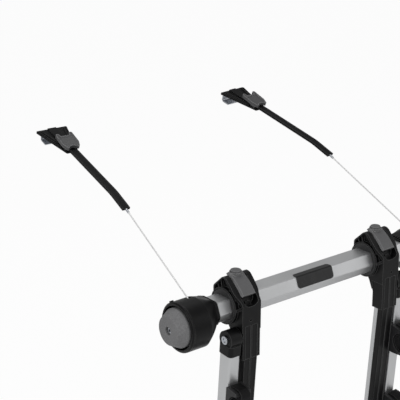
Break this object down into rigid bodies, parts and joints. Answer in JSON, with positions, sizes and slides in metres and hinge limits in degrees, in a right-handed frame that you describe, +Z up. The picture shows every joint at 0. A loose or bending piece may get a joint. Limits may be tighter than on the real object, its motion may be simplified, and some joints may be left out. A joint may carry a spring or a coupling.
{
  "type": "trunk mounted bike rack",
  "caption": "Bicycle rack for a car's tailgate: crossbar with winder housings, cable-tied hooks, two legs with a lower bar and folding arms with cradles.",
  "frame": {"origin": "on the axis of the upper crossbar, at mid-length", "axes": "+X along the crossbar to the right, +Y towards the car, +Z up"},
  "size_m": [0.714, 0.6414, 0.7578],
  "materials": {
    "satin_aluminium": "satin, anodised",
    "black_plastic": "matt, lightly grained",
    "grey_plastic": "matt",
    "dark_grey_plastic": "matt",
    "gloss_black": "satin",
    "black_rubber": "matt",
    "steel": "zinc plated"
  },
  "bodies": {
    "bar": {"crossbar_tube": "satin_aluminium", "badge_plate": "gloss_black", "angle_collars": "dark_grey_plastic", "end_housing_right": "black_plastic", "end_housing_left": "black_plastic", "cable_bushes": "dark_grey_plastic", "drum_shafts": "steel", "bearing_plates": "dark_grey_plastic", "knob_screws": "steel"},
    "frame": {"hub_bracket_right": "black_plastic", "hub_bracket_left": "black_plastic", "lever_pins": "steel", "leg_right": "satin_aluminium", "leg_left": "satin_aluminium", "leg_cover_right": "black_plastic", "leg_cover_left": "black_plastic", "lower_crossbar": "satin_aluminium", "lower_bar_caps": "black_plastic", "leg_clamps": "black_plastic", "pivot_bolts": "steel"},
    "lever_right": {"release_lever_right": "grey_plastic", "button_spring_right": "steel"},
    "shoe_right": {"lock_shoe_right": "steel"},
    "button_right": {"push_button_right": "grey_plastic"},
    "foot_right": {"foot_holder_right": "black_plastic", "foot_pad_right": "black_rubber"},
    "arm_right": {"bike_arm_right": "satin_aluminium", "arm_hub_right": "black_plastic", "arm_cap_right": "black_plastic", "cradles_right": "dark_grey_plastic", "cradle_liners_right": "black_rubber", "cradle_straps_right": "black_rubber"},
    "winder_right": {"knob_right": "grey_plastic", "drum_right": "dark_grey_plastic", "cable_winding_right": "steel"},
    "hook_right": {"cable_right": "steel", "cable_sleeve_right": "black_rubber", "hook_plate_right": "black_plastic", "hook_lip_right": "steel", "hook_clip_right": "grey_plastic"},
    "lever_left": {"release_lever_left": "grey_plastic", "button_spring_left": "steel"},
    "shoe_left": {"lock_shoe_left": "steel"},
    "button_left": {"push_button_left": "grey_plastic"},
    "foot_left": {"foot_holder_left": "black_plastic", "foot_pad_left": "black_rubber"},
    "arm_left": {"bike_arm_left": "satin_aluminium", "arm_hub_left": "black_plastic", "arm_cap_left": "black_plastic", "cradles_left": "dark_grey_plastic", "cradle_liners_left": "black_rubber", "cradle_straps_left": "black_rubber"},
    "winder_left": {"knob_left": "grey_plastic", "drum_left": "dark_grey_plastic", "cable_winding_left": "steel"},
    "hook_left": {"cable_left": "steel", "cable_sleeve_left": "black_rubber", "hook_plate_left": "black_plastic", "hook_lip_left": "steel", "hook_clip_left": "grey_plastic"}
  },
  "joints": [
    {"name": "frame_tilt", "type": "hinge", "parent": "bar", "child": "frame", "pos_m": [0, 0, 0], "axis": [1, 0, 0], "range_deg": [-10, 45]},
    {"name": "lever_right_turn", "type": "hinge", "parent": "frame", "child": "lever_right", "pos_m": [0.19, -0.001, 0.049], "axis": [-1, 0, 0], "range_deg": [0, 35], "stiffness_Nm_per_rad": 0.4},
    {"name": "shoe_right_slide", "type": "slide", "parent": "frame", "child": "shoe_right", "axis": [0, -0.9563, 0.2924], "range_m": [0, 0.0036]},
    {"name": "button_right_push", "type": "slide", "parent": "lever_right", "child": "button_right", "axis": [0, 0, -1], "range_m": [0, 0.003], "stiffness_N_per_m": 600, "deforming": ["button_spring_right"]},
    {"name": "foot_right_swivel", "type": "hinge", "parent": "frame", "child": "foot_right", "pos_m": [0.262, -0.00132, -0.48655], "axis": [1, 0, 0], "range_deg": [-20, 20]},
    {"name": "arm_right_raise", "type": "hinge", "parent": "frame", "child": "arm_right", "pos_m": [0.2277, -0.034, -0.054], "axis": [-1, 0, 0], "range_deg": [0, 95]},
    {"name": "knob_right_turn", "type": "hinge", "parent": "bar", "child": "winder_right", "pos_m": [0.33, -0.004, -0.012], "axis": [1, 0, 0], "range_deg": [0, 95.8]},
    {"name": "hook_right_pull", "type": "slide", "parent": "bar", "child": "hook_right", "axis": [0.0783, -0.8939, -0.4414], "range_m": [0, 0.06], "deforming": ["cable_right"]},
    {"name": "lever_left_turn", "type": "hinge", "parent": "frame", "child": "lever_left", "pos_m": [-0.19, -0.001, 0.049], "axis": [-1, 0, 0], "range_deg": [0, 35], "stiffness_Nm_per_rad": 0.4},
    {"name": "shoe_left_slide", "type": "slide", "parent": "frame", "child": "shoe_left", "axis": [0, -0.9563, 0.2924], "range_m": [0, 0.0036]},
    {"name": "button_left_push", "type": "slide", "parent": "lever_left", "child": "button_left", "axis": [0, 0, -1], "range_m": [0, 0.003], "stiffness_N_per_m": 600, "deforming": ["button_spring_left"]},
    {"name": "foot_left_swivel", "type": "hinge", "parent": "frame", "child": "foot_left", "pos_m": [-0.262, -0.00132, -0.48655], "axis": [1, 0, 0], "range_deg": [-20, 20]},
    {"name": "arm_left_raise", "type": "hinge", "parent": "frame", "child": "arm_left", "pos_m": [-0.2277, -0.034, -0.054], "axis": [-1, 0, 0], "range_deg": [0, 95]},
    {"name": "knob_left_turn", "type": "hinge", "parent": "bar", "child": "winder_left", "pos_m": [-0.33, -0.004, -0.012], "axis": [1, 0, 0], "range_deg": [0, 95.8]},
    {"name": "hook_left_pull", "type": "slide", "parent": "bar", "child": "hook_left", "axis": [-0.0783, -0.8939, -0.4414], "range_m": [0, 0.06], "deforming": ["cable_left"]}
  ],
  "couplings": [
    {"joint": "shoe_right_slide", "follows": "lever_right_turn", "m_per_rad": 0.0058},
    {"joint": "hook_right_pull", "follows": "knob_right_turn", "m_per_rad": 0.0358},
    {"joint": "shoe_left_slide", "follows": "lever_left_turn", "m_per_rad": 0.0058},
    {"joint": "hook_left_pull", "follows": "knob_left_turn", "m_per_rad": 0.0358}
  ]
}
